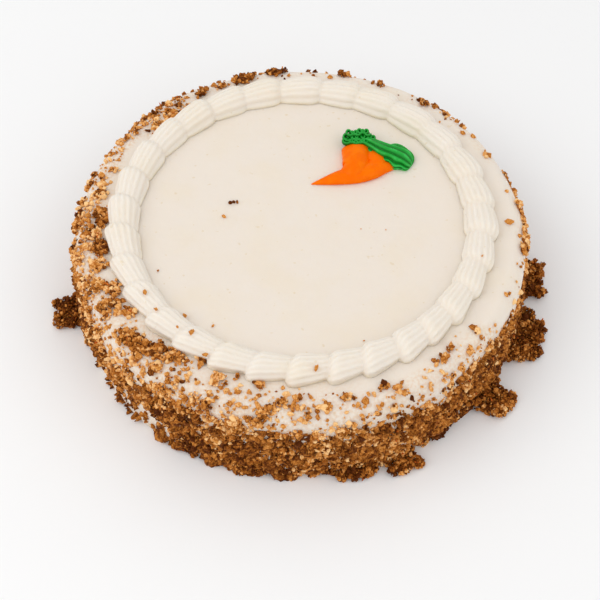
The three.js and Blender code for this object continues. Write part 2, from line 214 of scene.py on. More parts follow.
# The piped strokes of the carrot and its leaves, from the middle of the piping in millimetres: the
# line that the nozzle took, and the half-widths and heights of the icing along it.
CARROT_STROKES = (
    {
        "line": ((45.8, 34.6), (39.5, 33.8), (33, 31.2), (26, 28.9), (18.5, 27.3), (11, 25.4), (4.4, 23.9)),
        "half_widths": (1.8, 3.9, 5, 5, 4.1, 2.3, 0.7),
        "heights": (2.6, 4.2, 4.6, 4.3, 3.8, 2.6, 0.9),
    },
    {
        "line": ((32.4, 43.5), (34.6, 39.6), (36, 35.6), (33.4, 31.6)),
        "half_widths": (3.6, 4.8, 5, 4.2),
        "heights": (3.6, 5, 5.2, 4.2),
    },
    {
        "line": ((26, 47.4), (26.5, 41.5), (26.2, 36), (24.4, 30.8), (19, 27.8)),
        "half_widths": (7.2, 7, 6.6, 5.8, 3.4),
        "heights": (5, 6, 6.6, 6.2, 3.9),
        "blunt": 10,
    },
)
LEAF_STROKES = (
    {
        "line": ((42, 45.4), (45.8, 44.6), (49.4, 42.4), (52.4, 39.2)),
        "half_widths": (1.6, 2.4, 2.6, 2.2),
        "heights": (4.4, 5.8, 5.6, 4.2),
        "ribs": 2,
        "blunt": 9,
    },
    {
        "line": ((29.4, 50), (34.8, 45.2), (40, 41.9), (45.2, 39.9), (49.6, 37.9), (53.4, 35.7)),
        "half_widths": (3, 4.7, 5.6, 6.2, 6.4, 5),
        "heights": (6.4, 7.4, 7.4, 6.8, 5.8, 3.6),
        "ribs": 5,
        "ruffle": 0.8,
        "blunt": 9,
    },
)

# The curly tops of the leaves are a thin rope of icing in loops, piped over and over on a soft base:
# the way that each layer goes, the size of its loops and how high it lies, all in millimetres, and
# then the number of loops in a layer.
CURL_BASE = {
    "line": ((21.6, 50), (26, 50.4), (31, 50.4), (35, 48)),
    "half_widths": (2.4, 3.4, 3.6, 2.6),
    "heights": (4.2, 4.8, 5, 4.8),
    "shade": 1.6,
}
CURLS = (
    {"way": ((21.6, 51.8), (24.4, 53.4), (27, 52.6), (30.4, 54), (33.6, 52)), "loop": (1.3, 1.7), "lift": 2},
    {"way": ((21, 49), (25, 49.8), (29, 50), (33, 49.8), (36, 47.4)), "loop": (1.3, 1.8), "lift": 4.2},
    {"way": ((20.8, 47.2), (25, 47.2), (29, 47.2), (32.6, 46.8)), "loop": (1.2, 1.2), "lift": 4.1},
    {"way": ((22.6, 51.8), (26, 51.6), (29.4, 52.8), (32.6, 51.8)), "loop": (1.1, 1.4), "lift": 5.2},
)
CURL_LOOPS = 6
ROPE_HALF_WIDTH, ROPE_HEIGHT = 0.62, 1.7

# The camera: how far it stands from the middle of the piping and how steeply it looks down, its sensor
# in millimetres, and its focal length and where its view is centred, in pixels of a square render.
CAMERA_DISTANCE, CAMERA_ELEVATION = 0.75, math.radians(53.1)
SENSOR_WIDTH = 36
RENDER_WIDTH, FOCAL_LENGTH, VIEW_MIDDLE = 600, 1506, (301.9, 285.2)


# ---- Sizes and colours that a user can change ------------------------------------------------------


def length(name, description, default):
    return bpy.props.FloatProperty(
        name=name, description=description, default=default, unit="LENGTH", precision=4
    )


def colour(name, description, default):
    return bpy.props.FloatVectorProperty(
        name=name, description=description, default=default, subtype="COLOR", size=3, min=0, max=1
    )


class IcingSettings(bpy.types.PropertyGroup):
    radius: length("Radius", "Radius of the iced cake", 106.5 * MM)
    height: length("Height", "Height of the flat icing", ICING_TOP)
    edge_round: length("Edge round", "Radius of the rounded top edge", 8 * MM)
    foot_round: length("Foot round", "Chamfer at the foot", 1.6 * MM)
    side_wave: length("Side wave", "How far the side wanders from round", 0.6 * MM)
    top_colour: colour("Icing", "Colour of the spread icing", (0.83, 0.75, 0.66))
    shell_colour: colour("Shells", "Colour of the piped shells", (0.84, 0.77, 0.68))


class BorderSettings(bpy.types.PropertyGroup):
    shells: bpy.props.IntProperty(name="Shells", description="Number of shells", default=30, min=3)
    radius: length("Ring radius", "Radius of the ring of shells", 84.2 * MM)
    first_angle: bpy.props.FloatProperty(
        name="First shell", description="Angle of the first shell", default=math.radians(107), subtype="ANGLE"
    )
    half_width: length("Half width", "Half the width of a shell", 8.1 * MM)
    height: length("Height", "Height of a shell", 8.8 * MM)
    sideways: length("Sideways", "How far a tail lies inside its head", 2.4 * MM)
    ribs: bpy.props.IntProperty(name="Ribs", description="Ribs over a shell", default=7, min=2)
    rib_depth: length("Rib depth", "Depth of the grooves between ribs", 1.1 * MM)
    grain: length("Grain", "Size of the finest detail of the piping", 0.55 * MM)
    softness: bpy.props.IntProperty(name="Softness", description="How soft the creases are", default=3, min=0)


class CrumbSettings(bpy.types.PropertyGroup):
    seed: bpy.props.IntProperty(name="Seed", description="Seed of every random draw", default=20)
    coat: length("Coat", "Greatest thickness of the pressed coat", 3.4 * MM)
    shreds: bpy.props.IntProperty(name="Shreds", description="Shreds of carrot among the crumbs", default=420)
    light: colour("Light", "Colour of the palest crumbs", (0.98, 0.63, 0.29))
    golden: colour("Golden", "Colour of golden crumbs", (0.75, 0.322, 0.072))
    brown: colour("Brown", "Colour of well baked crumbs", (0.42, 0.132, 0.016))
    dark: colour("Dark", "Colour of the darkest crumbs", (0.10, 0.022, 0.002))
    carrot: colour("Carrot", "Colour of shreds of carrot", (0.66, 0.13, 0.014))


class CarrotSettings(bpy.types.PropertyGroup):
    root_colour: colour("Root", "Colour of the orange icing", (0.95, 0.15, 0.0))
    leaf_colour: colour("Leaves", "Colour of the green icing", (0.004, 0.35, 0.028))


class StageSettings(bpy.types.PropertyGroup):
    floor_colour: colour("Floor", "Colour of the floor", (0.92, 0.92, 0.92))
    light_power: bpy.props.FloatProperty(
        name="Light", description="Power of the large soft light", default=4.8, unit="POWER"
    )


class CakeSettings(bpy.types.PropertyGroup):
    icing: bpy.props.PointerProperty(type=IcingSettings)
    border: bpy.props.PointerProperty(type=BorderSettings)
    crumbs: bpy.props.PointerProperty(type=CrumbSettings)
    carrot: bpy.props.PointerProperty(type=CarrotSettings)
    stage: bpy.props.PointerProperty(type=StageSettings)


# ---- Materials -------------------------------------------------------------------------------------


class Value:
    """A shader value. Python's operators on it add the Math nodes."""

    def __init__(self, finish, socket):
        self.finish = finish
        self.socket = socket

    def _math(self, operation, first, second):
        return self.finish.add("Math", {"operation": operation}, {0: first, 1: second})

    def __add__(self, other):
        return self._math("ADD", self, other)

    def __radd__(self, other):
        return self._math("ADD", other, self)

    def __sub__(self, other):
        return self._math("SUBTRACT", self, other)

    def __rsub__(self, other):
        return self._math("SUBTRACT", other, self)

    def __mul__(self, other):
        return self._math("MULTIPLY", self, other)

    def __rmul__(self, other):
        return self._math("MULTIPLY", other, self)


class Finish:
    """A material in the making, with one Principled shader."""

    def __init__(self, name, **sockets):
        self.material = bpy.data.materials.new(name)
        self.material.use_nodes = True
        self.nodes = self.material.node_tree.nodes
        self.links = self.material.node_tree.links
        self.shader = self.nodes["Principled BSDF"]
        self.set(**sockets)

    def set(self, **sockets):
        for name, value in sockets.items():
            self._feed(self.shader.inputs[name.replace("_", " ")], value)

    def _feed(self, socket, value):
        if isinstance(value, Value):
            self.links.new(value.socket, socket)
        elif socket.type == "RGBA" and len(value) == 3:
            socket.default_value = (*value, 1)
        else:
            socket.default_value = value

    def add(self, kind, settings=None, sockets=None, output=0):
        """Adds a node: its settings first, then the values or links of its sockets."""
        node = self.nodes.new("ShaderNode" + kind)
        for name, value in (settings or {}).items():
            if name == "stops":
                self._set_stops(node.color_ramp, value)
            else:
                setattr(node, name, value)
        for name, value in (sockets or {}).items():
            self._feed(node.inputs[name], value)
        return Value(self, node.outputs[output])

    def _set_stops(self, ramp, stops):
        while len(ramp.elements) < len(stops):
            ramp.elements.new(1)
        for element, (place, tone) in zip(ramp.elements, stops):
            element.position = place
            element.color = (*tone, 1)

    def place(self):
        return self.add("TexCoord", output="Object")

    def noise(self, size, detail=2, roughness=0.5, vector=None):
        """Cloudy noise from 0 to 1 with blobs of the given size."""
        sockets = {"Vector": vector or self.place(), "Scale": 1 / size}
        sockets |= {"Detail": detail, "Roughness": roughness}
        return self.add("TexNoise", {}, sockets)

    def mix(self, first, second, factor):
        """A colour between two."""
        return self.add("Mix", {"data_type": "RGBA"}, {0: factor, 6: first, 7: second}, output=2)

    def limit(self, value, low, high):
        """0 below low, 1 above high and smooth between."""
        settings = {"interpolation_type": "SMOOTHSTEP"}
        return self.add("MapRange", settings, {"Value": value, "From Min": low, "From Max": high})

    def bump(self, height, depth, before=None):
        """Raises the surface by height, from 0 to 1, times a depth in metres."""
        sockets = {"Height": height, "Distance": depth, "Strength": 1.0}
        if before is not None:
            sockets["Normal"] = before
        return self.add("Bump", {}, sockets)


def shade(tone, factor):
    return tuple(channel * factor for channel in tone)


def icing_finish(name, tone, foot=0.0):
    """Soft icing: pale with a warm cast here and there, faintly streaked by the spatula. Up to a little
    above the height of its foot it has painted shade, a darker yellow where it meets what it stands on,
    and it is dusty where fine crumb clings to it."""
    finish = Finish(name, Roughness=0.52, Subsurface_Weight=0.6, Subsurface_Scale=4 * MM)
    finish.set(Subsurface_Radius=(0.9, 0.85, 0.75), Specular_IOR_Level=0.35)
    clouds = finish.noise(26 * MM, detail=3)
    height = finish.add("SeparateXYZ", {}, {"Vector": finish.place()}, output="Z")
    # A warm cast comes and goes at random, and below 2.6 mm above the foot the colour is painted shade.
    low = finish.limit(height, foot + 2.6 * MM, foot + 0.4 * MM)
    warm_cast_and_foot_shade = finish.limit(clouds, 0.42, 0.72) * 0.25 + low * (0.2 + finish.noise(6 * MM))
    warm = finish.mix(tone, (tone[0] * 0.99, tone[1] * 0.94, tone[2] * 0.78), warm_cast_and_foot_shade)
    flecks = finish.limit(finish.noise(2.4 * MM, detail=1, roughness=0.3), 0.735, 0.80)
    fleck_tone = (tone[0] * 0.86, tone[1] * 0.76, tone[2] * 0.52)
    flecked = finish.mix(warm, fleck_tone, flecks * 0.4)
    dust = finish.add("Attribute", {"attribute_name": "dust"}, output="Fac")
    dust_tone = (0.72, 0.44, 0.22)
    dusty = dust * finish.limit(finish.noise(1.4 * MM, detail=3), 0.38, 0.66)
    finish.set(Base_Color=finish.mix(flecked, dust_tone, dusty))
    streaks = finish.noise(7 * MM, detail=4, roughness=0.62)
    pits = finish.noise(1.1 * MM, detail=2)
    coarse = finish.bump(streaks, 0.34 * MM)
    finish.set(Normal=finish.bump(pits, 0.05 * MM, before=coarse))
    return finish.material


def crumb_tones(crumbs):
    """The colours of crumb, from the darkest to the palest."""
    return crumbs.dark[:], crumbs.brown[:], crumbs.golden[:], crumbs.light[:]


def crumb_finish(name, tones):
    """Crumb of sponge: each crumb has a tone of its own, mottled and pitted."""
    finish = Finish(name, Specular_IOR_Level=0.08)
    own_tone = finish.add("Attribute", {"attribute_name": "tone"}, output="Fac")
    mottle = finish.noise(0.9 * MM, detail=3, roughness=0.7)
    blend = own_tone + (mottle - 0.5) * 1.5
    stops = [(i / (len(tones) - 1), tone) for i, tone in enumerate(tones)]
    finish.set(Base_Color=finish.add("ValToRGB", {"stops": stops}, {"Fac": blend}))
    finish.set(Roughness=0.78 - 0.25 * mottle)
    finish.set(Normal=finish.bump(finish.noise(0.55 * MM, detail=3, roughness=0.7), 0.22 * MM))
    return finish.material


def piped_finish(name, tone, crease, pale, gloss):
    """Coloured piping with a soft shine: painted shade deepens its colour in the grooves and on the lower
    flanks, and a painted highlight makes its crests paler.
    """
    finish = Finish(name, Specular_IOR_Level=gloss)
    clouds = finish.noise(5 * MM, detail=3)
    depth = finish.add("Attribute", {"attribute_name": "crease"}, output="Fac")
    # Painted highlight: the crests, where there is no painted shade, take more of the paler colour.
    crest = finish.limit(depth, 0.12, 0.0)
    body = finish.mix(tone, pale, finish.limit(clouds, 0.35, 0.75) * (0.35 + 0.65 * crest))
    finish.set(Base_Color=finish.mix(body, crease, depth))
    finish.set(Roughness=0.2 + 0.14 * clouds)
    finish.set(Normal=finish.bump(finish.noise(1.6 * MM, detail=3), 0.14 * MM))
    return finish.material


def floor_finish(name, tone):
    finish = Finish(name, Roughness=0.7)
    clouds = finish.noise(90 * MM, detail=3)
    finish.set(Base_Color=finish.mix(tone, shade(tone, 0.99), clouds))
    finish.set(Normal=finish.bump(finish.noise(3 * MM), 0.02 * MM))
    return finish.material


# ---- Making pieces ---------------------------------------------------------------------------------


def add_object(name, data):
    added = bpy.data.objects.new(name, data)
    bpy.context.scene.collection.objects.link(added)
    return added


def add_piece(name, mesh, material, node, smooth=True):
    """Puts a mesh in the scene as a piece that stands for a node."""
    mesh.polygons.foreach_set("use_smooth", [smooth] * len(mesh.polygons))
    mesh.materials.append(material)
    mesh.update()
    piece = add_object(name, mesh)
    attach(piece, BODY)
    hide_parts(node)
    return piece


def to_mesh(name, bm):
    mesh = bpy.data.meshes.new(name)
    bm.to_mesh(mesh)
    bm.free()
    return mesh


def spin_round(bm, verts, edges, steps):
    """Spins an outline in full round the middle of the cake."""
    bmesh.ops.spin(
        bm, geom=verts + edges, cent=(0, 0, 0), axis=(0, 0, 1), angle=math.tau, steps=steps, use_merge=True
    )


def keep_values(mesh, name, values):
    """Keeps a value for each corner of a mesh, for its finish to read."""
    mesh.attributes.new(name, "FLOAT", "POINT").data.foreach_set("value", values.astype(np.float32))


def through(values, t):
    """The value at t, from 0 to 1, on a smooth line through evenly spaced values."""
    place = min(max(t, 0), 1) * (len(values) - 1)
    step = min(int(place), len(values) - 2)
    before, after = values[max(step - 1, 0)], values[min(step + 2, len(values) - 1)]
    a, b, u = values[step], values[step + 1], place - step
    bend = (2 * before - 5 * a + 4 * b - after) * u**2 + (3 * a - before - 3 * b + after) * u**3
    return a + 0.5 * ((b - before) * u + bend)


def smooth_step(low, high, value):
    t = np.clip((value - low) / (high - low), 0, 1)
    return t * t * (3 - 2 * t)


def blobs(points, size):
    """Smooth noise with blobs of a size, from about -1 to 1."""
    return np.array([noise.noise(Vector(p) / size) for p in points])


def degrees_apart(degrees, middle):
    return np.abs((degrees - middle + 540) % 360 - 180)


# ---- The icing and what lies on it -----------------------------------------------------------------


def side_wave(icing, angle, height):
    """How far the spread icing stands out at a place on the side."""
    high = height / MM
    slow = np.sin(3 * angle + 0.8) + 0.7 * np.sin(5 * angle + high / 14)
    return icing.side_wave * (slow + 0.4 * np.sin(11 * angle - high / 9 + 2))


def on_icing(icing, angle, way, off=0.0):
    """Points off the icing at angles in radians and ways from the foot, and the outward directions."""
    shoulder = icing.height - icing.edge_round
    tilt = np.clip((way - shoulder) / icing.edge_round, 0, math.pi / 2)
    inward = np.maximum(way - shoulder - icing.edge_round * math.pi / 2, 0)
    height = np.minimum(way, shoulder) + icing.edge_round * np.sin(tilt)
    radius = icing.radius - icing.edge_round * (1 - np.cos(tilt)) - inward
    radius = radius + side_wave(icing, angle, height) * np.cos(tilt) + off * np.cos(tilt)
    height = height + off * np.sin(tilt)
    points = np.stack([np.cos(angle) * radius, np.sin(angle) * radius, height], -1)
    outward = np.stack([np.cos(angle) * np.cos(tilt), np.sin(angle) * np.cos(tilt), np.sin(tilt)], -1)
    return points, outward


def make_icing(icing, material):
    """The spread icing as one spun body, with the spatula's unevenness."""
    bm = bmesh.new()
    way_of = bm.verts.layers.float.new("way")
    side = icing.height - icing.edge_round * (1 - math.pi / 2)
    ways = [*np.arange(icing.foot_round, side, 1.3 * MM)]
    ways += [*np.linspace(side, side + icing.radius - icing.edge_round, 62)]
    section = [(0, 0, 0), (icing.radius - icing.foot_round, 0, 0)]
    line = on_icing(icing, 0.0, np.array(ways))[0]
    section += [tuple(point) for point in line - (side_wave(icing, 0, 0), 0, 0)]
    verts = [bm.verts.new(point) for point in section]
    for vert, way in zip(verts, [-1, -1, *ways]):
        vert[way_of] = way
    verts[-1].co.x = 0
    edges = [bm.edges.new(pair) for pair in zip(verts, verts[1:])]
    spin_round(bm, verts, edges, steps=400)
    bmesh.ops.remove_doubles(bm, verts=bm.verts, dist=1e-6)
    for vert in bm.verts:
        way = vert[way_of]
        if way < 0:
            continue
        uneven = noise.noise(vert.co / (24 * MM)) * 0.35 + noise.noise(vert.co / (7 * MM)) * 0.12
        angle = math.atan2(vert.co.y, vert.co.x)
        if way < side:
            vert.co = on_icing(icing, angle, np.float64(way), uneven * MM)[0]
        else:
            vert.co.z += uneven * 0.5 * MM
    bmesh.ops.recalc_face_normals(bm, faces=bm.faces)
    places = np.array([(math.atan2(vert.co.y, vert.co.x), vert[way_of]) for vert in bm.verts])
    mesh = to_mesh("icing", bm)
    keep_values(mesh, "dust", 0.8 * crumb_cover(*places.T))
    add_piece("icing", mesh, material, "iced_cake")


def crumb_cover(angle, way):
    """The share of the icing that crumbs hide, at angles in radians and ways in metres."""
    degrees, millimetres = np.degrees(angle), way / MM
    wander = 1.3 * np.sin(9 * angle + 1) + 1.0 * np.sin(23 * angle)
    thin_middle, thin_spread, thin_share = THIN_BAND
    thin = smooth_step(1.1, 0.7, degrees_apart(degrees, thin_middle) / thin_spread)
    thin = thin * smooth_step(4, -4, millimetres - THIN_BAND_REACH)
    band = FOOT_BAND_SHARE + (thin_share - FOOT_BAND_SHARE) * thin
    cover = band * smooth_step(9, -12, millimetres - FOOT_BAND_REACH - wander)
    for middle, spread, low, high, most in DRIFTS:
        sideways = degrees_apart(degrees, middle) / spread
        along = smooth_step(low - 3, low + 1, millimetres) * smooth_step(high + 2, high - 2, millimetres)
        cover = np.maximum(cover, most * along * smooth_step(1.25, 0.7, sideways))
    return cover


def patches(points):
    """Uneven patches a few millimetres wide, as numbers spread evenly from 0 to 1."""
    raw = np.array([noise.fractal(Vector(p) / (5.5 * MM), 0.7, 2.2, 4) for p in points])
    return 1 / (1 + np.exp(-1.702 * (raw - raw.mean()) / raw.std()))


def grains(points, size):
    """Rounded grains of a size, as heights from 0 to 1."""
    nearest = np.array([noise.voronoi(Vector(p) / size)[0][0] for p in points])
    return np.sqrt(np.clip(1 - (nearest / 0.75) ** 2, 0, 1))


def clear_of_border(border, points, size):
    """Which points on the top leave the ring of shells free."""
    away = np.hypot(points[:, 0] - PIPING_MIDDLE.x, points[:, 1] - PIPING_MIDDLE.y)
    ring = border.radius + border.half_width
    return (away - 0.3 * size > ring) | (points[:, 2] < ICING_TOP - 4 * MM)


def coat_height(settings, angle, way):
    """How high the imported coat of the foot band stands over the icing, below 0 where icing is bare."""
    points = on_icing(settings.icing, angle, way)[0]
    inside = crumb_cover(angle, way) - 0.28 - 0.9 * patches(points)
    thick = smooth_step(-0.5, 0.6, blobs(points, 9 * MM))
    bumpy = 0.25 + 0.75 * grains(points, 2.1 * MM)
    present = smooth_step(-0.02, 0.12, inside)
    height = present * bumpy * (0.7 * MM + settings.crumbs.coat * thick)
    return height - (1 - present) * 1.2 * MM


def make_coat(settings, material):
    """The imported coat: a crust that stands on the icing where crumbs lie and dips under it elsewhere."""
    icing = settings.icing
    bm = bmesh.new()
    way_of = bm.verts.layers.float.new("way")
    ways = np.arange(0, 38 * MM, 0.7 * MM)
    outer = on_icing(icing, 0.0, ways)[0]
    back = on_icing(icing, 0.0, ways[::-1][::12], -5 * MM)[0]
    back[-1, 2] = 0
    verts = [bm.verts.new(tuple(point)) for point in (*outer, *back)]
    for vert, way in zip(verts, [*ways, *([-1] * len(back))]):
        vert[way_of] = way
    edges = [bm.edges.new(pair) for pair in zip(verts, verts[1:] + verts[:1])]
    spin_round(bm, verts, edges, steps=960)
    crust = [vert for vert in bm.verts if vert[way_of] > -0.5 * MM]
    angle = np.array([math.atan2(vert.co.y, vert.co.x) for vert in crust])
    way = np.array([vert[way_of] for vert in crust])
    places = on_icing(icing, angle, way, coat_height(settings, angle, way))[0]
    for vert, place in zip(crust, places):
        vert.co = (place[0], place[1], max(place[2], 0))
    bmesh.ops.recalc_face_normals(bm, faces=bm.faces)
    mesh = to_mesh("crumb_coat", bm)
    speckle = np.array([noise.cell(v.co / (1.6 * MM)) for v in mesh.vertices])
    cloud = blobs((v.co for v in mesh.vertices), 9 * MM)
    # The coat's tone is low, below that of the crumbs on it: partly the colour of pressed crumb, partly
    # painted shade in the gaps between the crumbs.
    keep_values(mesh, "tone", 0.32 + 0.3 * (speckle - 0.5) + 0.3 * cloud)
    add_piece("crumb_coat", mesh, material, "iced_cake")


def crumb_shapes(rng, count, subdivisions, craggy, stretch=1.0):
    """Irregular crumbs of size 1, as corner lists that share one list of faces."""
    bm = bmesh.new()
    bmesh.ops.create_icosphere(bm, subdivisions=subdivisions, radius=0.5)
    corners = np.array([vert.co[:] for vert in bm.verts])
    faces = np.array([[vert.index for vert in face.verts] for face in bm.faces])
    bm.free()
    shapes = []
    for _ in range(count):
        shift = Vector(rng.uniform(-50, 50, 3))
        bulge = np.array([1 + craggy * noise.fractal(Vector(c) * 2.6 + shift, 0.8, 2.0, 3) for c in corners])
        knobs = rng.uniform(0.72, 1.24, len(corners))
        girth = rng.uniform([0.95, 0.75, 0.6], [1.35, 1.1, 0.95]) * (stretch, 1, 1)
        shapes.append(corners * (bulge * knobs)[:, None] * girth)
    return np.array(shapes), faces


def turns(rng, count):
    """Random rotations as matrices."""
    q = rng.normal(size=(count, 4))
    w, x, y, z = (q / np.linalg.norm(q, axis=1)[:, None]).T
    rows = [1 - 2 * (y * y + z * z), 2 * (x * y - z * w), 2 * (x * z + y * w)]
    rows += [2 * (x * y + z * w), 1 - 2 * (x * x + z * z), 2 * (y * z - x * w)]
    rows += [2 * (x * z - y * w), 2 * (y * z + x * w), 1 - 2 * (x * x + y * y)]
    return np.stack(rows, -1).reshape(count, 3, 3)


def scatter(name, rng, shapes, faces, points, sizes, tones, material):
    """Many crumbs as one joined mesh, each turned its own way, none below the foot."""
    count = len(points)
    chosen = shapes[rng.integers(0, len(shapes), count)] * sizes[:, None, None]
    corners = np.einsum("nij,nkj->nki", turns(rng, count), chosen) + points[:, None, :]
    corners[..., 2] = np.maximum(corners[..., 2], ICING_FOOT)
    corners = corners.reshape(-1, 3)
    each = shapes.shape[1]
    loops = (faces[None] + each * np.arange(count)[:, None, None]).reshape(-1, 3)
    mesh = bpy.data.meshes.new(name)
    mesh.from_pydata(corners.tolist(), [], loops.tolist())
    keep_values(mesh, "tone", np.repeat(tones, each))
    add_piece(name, mesh, material, "iced_cake", smooth=False)


def cluster_places(settings, rng):
    """Where clusters of crumbs lie on the icing: centres, outward directions, radii and tones. They
    overlap so that the share of the icing that they hide comes out as the drifts say."""
    draws = 90000
    top = 66 * MM
    angle, way = rng.uniform(-math.pi, math.pi, draws), rng.uniform(0.8 * MM, top, draws)
    in_band = smooth_step(4, -4, way / MM - FOOT_BAND_PACKED)
    radius = MM * np.clip(rng.lognormal(-0.2, 0.55, draws), 0.5, 3.2) * (1 + 0.25 * in_band)
    cover = crumb_cover(angle, way)
    radius = np.where(cover < SINGLE_COVER, np.minimum(radius, 0.98 * SINGLE_CRUMB), radius)
    layers = -np.log(1 - np.minimum(cover, 0.88)) * (1 - 0.15 * in_band)
    footprint = np.where(radius > SINGLE_CRUMB, radius + 0.6 * MM, 1.1 * radius)
    area = math.pi * np.mean(footprint**2)
    most = draws * area / (math.tau * settings.icing.radius * top)
    clumpy = blobs(on_icing(settings.icing, angle, way)[0], 4 * MM)
    chance = layers / most * np.clip(1 + 0.9 * clumpy * (1 - in_band), 0, 3)
    centre, outward = on_icing(settings.icing, angle, way, 0.12 * radius)
    fits = (rng.random(draws) < chance) & clear_of_border(settings.border, centre, 2 * radius)
    cloud = blobs(centre[fits], 11 * MM)
    low = smooth_step(26, 6, way[fits] / MM)
    tone = 0.62 + 0.35 * cloud + rng.normal(0, 0.22, fits.sum()) - 0.22 * in_band[fits] - 0.15 * low
    # The crumbs at the back are darker, and those on the left are paler, as painted light from the left.
    tone -= 0.2 * smooth_step(0.2, 0.8, np.sin(angle[fits]))
    tone += 0.12 * smooth_step(-0.5, -0.9, np.cos(angle[fits]))
    return centre[fits], outward[fits], radius[fits], tone


def lump_places(settings, rng):
    """The clusters that make up the larger lumps: centres, outward directions, radii and tones."""
    angle, way, radius, tone = [], [], [], []
    rim = 1.4
    for middle, along, half_round, half_along, own_tone in LUMPS:
        for _ in range(max(round(0.5 * half_round * half_along), 1)):
            turn, out = rng.uniform(0, math.tau), math.sqrt(rng.random())
            sideways = max(half_round - rim, 0.2) * out * math.cos(turn) * MM / settings.icing.radius
            angle.append(math.radians(middle) + sideways)
            way.append((along + max(half_along - rim, 0.2) * out * math.sin(turn)) * MM)
            radius.append(rng.uniform(1.0, 2.2) * min(half_round / 3, half_along / 3, 1) * MM)
            tone.append(own_tone + rng.normal(0, 0.14))
    radius = np.maximum(radius, SINGLE_CRUMB)
    centre, outward = on_icing(settings.icing, np.array(angle), np.array(way), 0.3 * radius)
    return centre, outward, radius, np.array(tone)


def heap_places(settings, rng):
    """Lumps that lean on each other from the foot outwards, lower and fewer as they go."""
    points, radii = [], []
    step = 5.2
    for middle, spread, reach, height in HEAPS:
        first = settings.icing.radius / MM
        rows = max(round((reach - first) / step), 1)
        for row in range(rows):
            radius = first + (row + 0.4) * step
            width = spread * (1 - 0.35 * row / rows)
            beside = max(round(2 * math.radians(width) * radius / step), 1)
            for i in range(beside):
                angle = math.radians(middle + width * ((2 * i + 1) / beside - 1) + rng.uniform(-0.8, 0.8))
                size = height * (1 - 0.35 * row / rows) * rng.uniform(0.7, 1.0)
                out = radius + rng.uniform(-1, 1)
                points.append((math.cos(angle) * out, math.sin(angle) * out, rng.uniform(0.3, 0.42) * size))
                radii.append(0.46 * size)
    points, radii = np.array(points) * MM, np.array(radii) * MM
    return points, np.tile((0.0, 0.0, 1.0), (len(points), 1)), radii, rng.normal(0.27, 0.15, len(points))


def crumbs_on(rng, centre, outward, radius, tone, flatness, above):
    """Fine crumbs all over clusters: points, sizes and tones."""
    count = np.ceil(CLUSTER_CRUMBS * (radius / MM) ** 2 * (1 if above else HEAP_CRUMBS)).astype(int)
    owner = np.repeat(np.arange(len(centre)), count)
    way = rng.normal(size=(len(owner), 3))
    way /= np.linalg.norm(way, axis=1)[:, None]
    lift = np.einsum("ij,ij->i", way, outward[owner])
    up = outward[owner] * lift[:, None]
    if above:
        up, lift = up * np.sign(lift)[:, None], np.abs(lift)
    spread = radius[owner][:, None]
    flat = (way - outward[owner] * np.einsum("ij,ij->i", way, outward[owner])[:, None]) * spread
    size = MM * np.clip(rng.lognormal(0.14, 0.5, len(owner)), 0.5, 3.2)
    place = centre[owner] + flat + up * spread * flatness + outward[owner] * (0.12 * size)[:, None]
    return place, size, tone[owner] + rng.normal(0, 0.23, len(owner))


def make_crumbs(settings, finishes):
    """Every crumb that stands out of the coat, one piece for each kind."""
    rng = np.random.default_rng(settings.crumbs.seed)
    placed = [np.concatenate(pair) for pair in zip(cluster_places(settings, rng), lump_places(settings, rng))]
    heaped = heap_places(settings, rng)
    single = placed[2] < SINGLE_CRUMB
    centre, outward, radius, tone = (values[single] for values in placed)
    shapes, faces = crumb_shapes(rng, 24, 1, 0.6)
    scatter("single_crumbs", rng, shapes, faces, centre, 2.2 * radius, tone, finishes["crumbs"])

    pressed = [values[~single] for values in placed]
    on_wall = crumbs_on(rng, *pressed, flatness=0.5, above=True)
    on_heaps = crumbs_on(rng, *heaped, flatness=0.95, above=False)
    spots = [np.concatenate(pair) for pair in zip(on_wall, on_heaps)]

    centre, _, radius, tone = (np.concatenate(pair) for pair in zip(pressed, heaped))
    flat = np.append(np.full(len(pressed[0]), 0.9), np.full(len(heaped[0]), 1.7))
    big = radius > 1.7 * MM
    shapes, faces = crumb_shapes(rng, 12, 2, 0.5)
    # The cores carry painted shade: their tone is cut to 0.4, so the gaps between the fine crumbs on them
    # look dark.
    sizes, tones = (radius * flat)[big], tone[big] * 0.4
    scatter("shaded_crumb_cores", rng, shapes, faces, centre[big], sizes, tones, finishes["shaded_crumb_cores"])

    points, sizes, tones = spots
    shapes, faces = crumb_shapes(rng, 24, 1, 0.3)
    order = np.argsort(tones)
    cuts = np.linspace(0, len(order), 5).astype(int)
    kinds = ("dark_crumbs", "brown_crumbs", "toasted_crumbs", "golden_crumbs")
    for kind, first, last in zip(kinds, cuts[:-1], cuts[1:]):
        chosen = order[first:last]
        scatter(kind, rng, shapes, faces, points[chosen], sizes[chosen], tones[chosen], finishes["crumbs"])

    chosen = rng.choice(len(points), settings.crumbs.shreds, replace=False)
    shapes, faces = crumb_shapes(rng, 8, 1, 0.2, stretch=3.2)
    tones = rng.uniform(0, 1, len(chosen))
    sizes = np.minimum(sizes[chosen], 1.8 * MM) * 0.7
    scatter("carrot_shreds", rng, shapes, faces, points[chosen], sizes, tones, finishes["shreds"])


